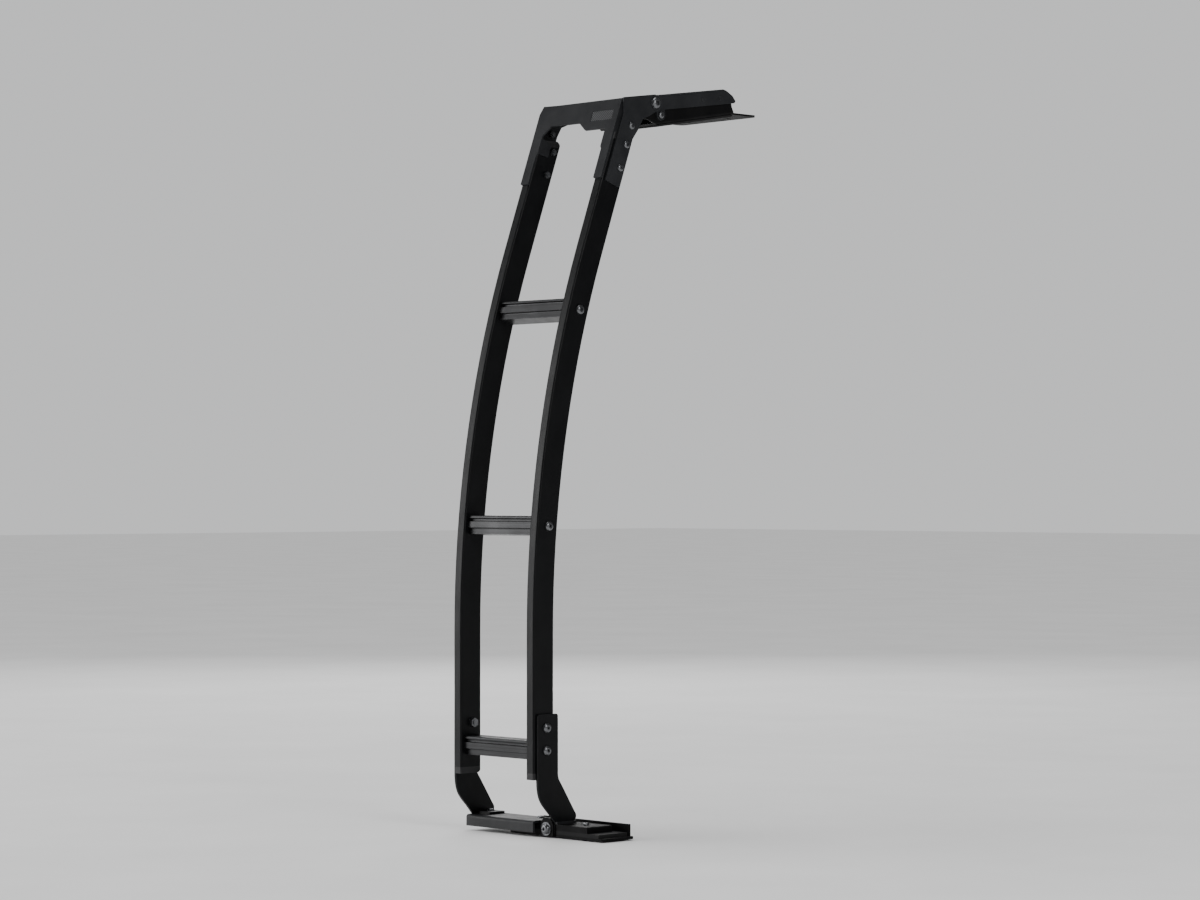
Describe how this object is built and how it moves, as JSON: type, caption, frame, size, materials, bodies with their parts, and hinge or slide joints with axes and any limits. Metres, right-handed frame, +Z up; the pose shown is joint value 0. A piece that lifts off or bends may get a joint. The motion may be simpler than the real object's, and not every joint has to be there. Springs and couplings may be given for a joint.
{
  "type": "rear tailgate ladder",
  "caption": "Black rear ladder for an SUV tailgate: curved rails, ribbed rungs, folded top frame, roof tray and foot, and a lower clamp bracket.",
  "frame": {"origin": "on the flat underside of the lower hook plate, on the ladder's centre plane", "axes": "+X to the right seen from behind the vehicle, +Y forward towards the tailgate, +Z up"},
  "size_m": [0.2991, 0.4984, 1.1762],
  "materials": {
    "powder_coat": "satin black powder coat",
    "matt_coat": "matt black coat",
    "grey_coat": "satin dark grey coat",
    "rung_metal": "black anodised extrusion",
    "rubber": "matt black",
    "cap_plastic": "fine texture, black",
    "fastener": "dark zinc",
    "badge_metal": "dark anodised, blank"
  },
  "bodies": {
    "root": {"rail_right": "powder_coat", "rail_left": "powder_coat", "rail_caps": "cap_plastic", "rung_lower": "rung_metal", "rung_middle": "rung_metal", "rung_upper": "rung_metal", "top_frame": "powder_coat", "badge_plate": "badge_metal", "gusset_right": "powder_coat", "gusset_left": "powder_coat", "roof_tray": "powder_coat", "roof_foot": "matt_coat", "roof_pad": "rubber", "leg_right": "powder_coat", "leg_left": "powder_coat", "lower_angle": "grey_coat", "hook_plate": "matt_coat", "hook_pad": "rubber", "clamp_bar": "matt_coat", "rung_screws": "fastener", "lower_rung_screws": "fastener", "leg_bolts": "fastener", "leg_nuts": "fastener", "frame_screws": "fastener", "frame_nuts": "fastener", "gusset_screws": "fastener", "gusset_nuts": "fastener", "tray_bolts": "fastener", "tray_washers": "fastener", "tray_nuts": "fastener", "foot_rivets": "powder_coat", "ear_bolt": "fastener", "ear_nut": "fastener", "tab_screws": "fastener", "tab_nuts": "fastener", "clamp_screw_left": "fastener", "clamp_screw_right": "fastener", "lug_bolt": "fastener", "lug_washer": "fastener", "lug_nut": "fastener"}
  },
  "joints": []
}
